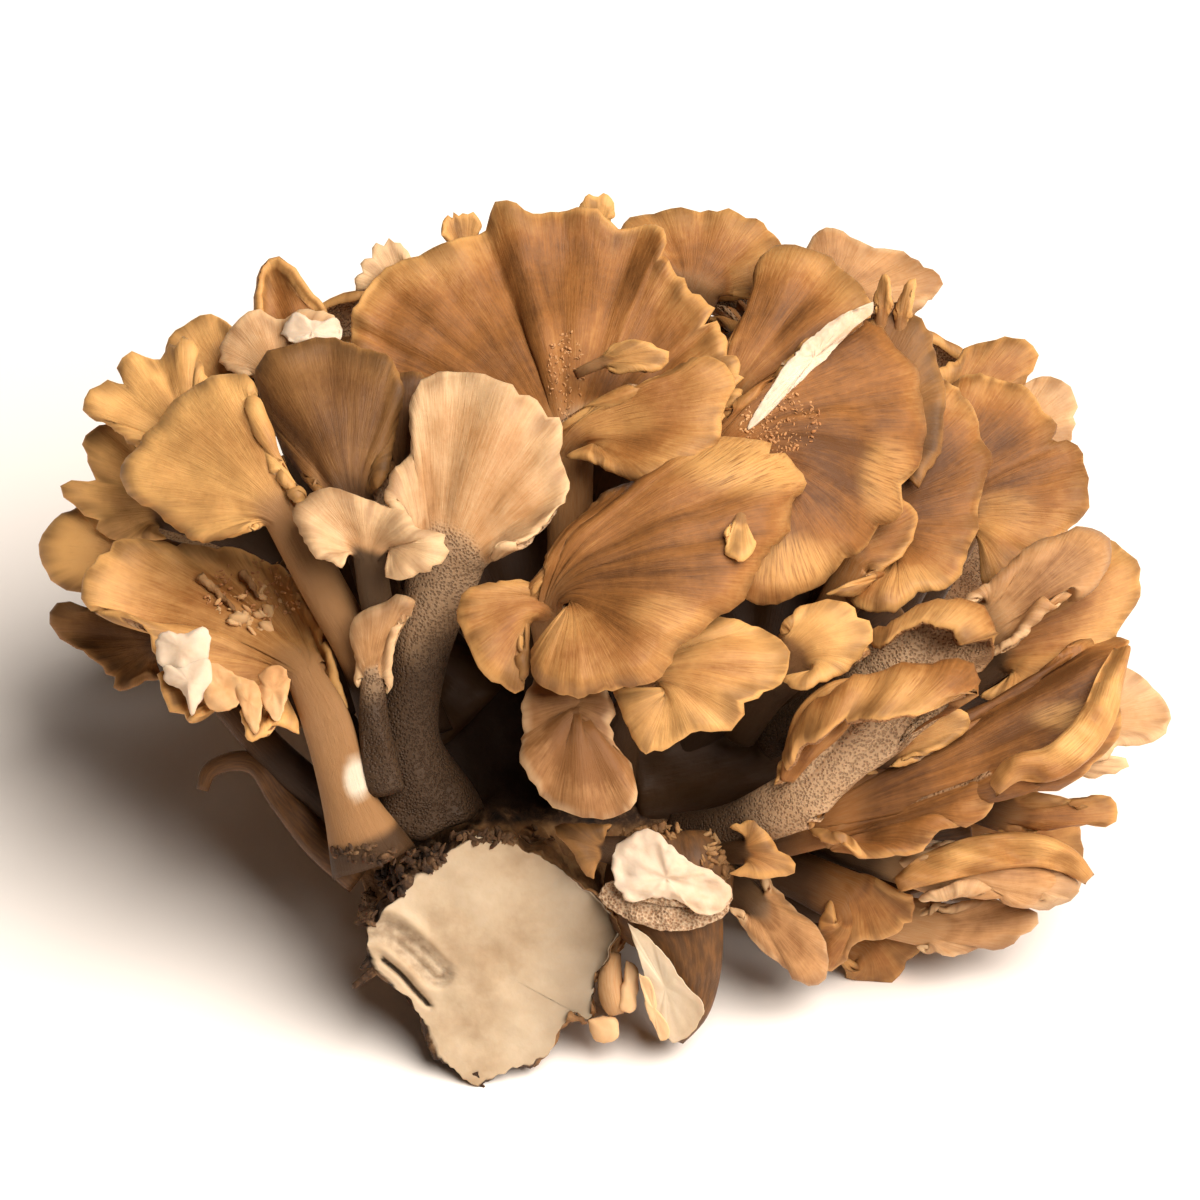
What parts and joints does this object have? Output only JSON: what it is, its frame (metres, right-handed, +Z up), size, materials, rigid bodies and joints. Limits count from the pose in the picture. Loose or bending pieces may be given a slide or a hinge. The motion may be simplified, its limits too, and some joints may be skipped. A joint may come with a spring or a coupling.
{
  "type": "maitake mushroom",
  "caption": "Picked maitake cluster: ruffled tan fan-shaped caps with pored undersides, crowded on forked stems that join at a cut cream base.",
  "frame": {"origin": "middle of the cluster's bounding box, on the surface it lies on", "axes": "+X to the cluster's right as pictured, its longest extent; +Y away from the viewer and from the cut base; +Z up"},
  "size_m": [0.1841, 0.1372, 0.1027],
  "materials": {
    "tan_cap": "dry, finely streaked skin",
    "dark_cap": "dry, darkly streaked skin",
    "pale_cap": "dry, smooth to velvety skin",
    "cut_flesh": "matt, fibrous cut flesh"
  },
  "bodies": {
    "root": {"back_branch": "tan_cap", "back_crest_frond": "tan_cap", "back_low_centre": "tan_cap", "back_low_left": "tan_cap", "back_low_right": "tan_cap", "back_mid_left": "tan_cap", "back_mid_right": "tan_cap", "back_right_frond": "pale_cap", "back_top_left": "tan_cap", "back_top_right": "tan_cap", "base": "cut_flesh", "beige_flap": "pale_cap", "broad_right_fan": "tan_cap", "broken_frond": "pale_cap", "centre_fan": "pale_cap", "crescent_back_fan": "dark_cap", "crescent_fan": "tan_cap", "curled_upright_frond": "tan_cap", "dark_fan": "dark_cap", "far_right_back_lobe": "pale_cap", "far_right_fan": "tan_cap", "far_right_top_lobe": "tan_cap", "flat_strip_frond": "tan_cap", "front_fan": "tan_cap", "front_under_fan": "tan_cap", "hanging_fan": "pale_cap", "hooked_stem": "dark_cap", "large_wavy_frond": "tan_cap", "left_branch": "tan_cap", "left_crest_fan": "tan_cap", "left_dark_frond": "dark_cap", "left_fan": "tan_cap", "left_round_lobe": "tan_cap", "left_side_frond": "tan_cap", "left_upper_fan": "tan_cap", "lower_hanging_lobe": "tan_cap", "lower_leaf_frond": "pale_cap", "lower_rolled_frond": "pale_cap", "lowest_lobe": "tan_cap", "nub": "pale_cap", "pale_front_lobe": "pale_cap", "pointed_frond": "pale_cap", "pore_lip_lower": "tan_cap", "pore_lip_upper": "tan_cap", "right_back_lobe": "tan_cap", "right_branch": "tan_cap", "right_fan": "tan_cap", "right_folded_fan": "tan_cap", "right_tip_frond": "pale_cap", "right_under_frond": "tan_cap", "rolled_lip_frond": "pale_cap", "round_lobe": "pale_cap", "second_leaf": "dark_cap", "second_stalk": "cut_flesh", "tongue_frond": "tan_cap", "top_branch": "tan_cap", "top_fan": "tan_cap", "torn_bowl_frond": "tan_cap", "torn_leaf": "tan_cap"}
  },
  "joints": []
}
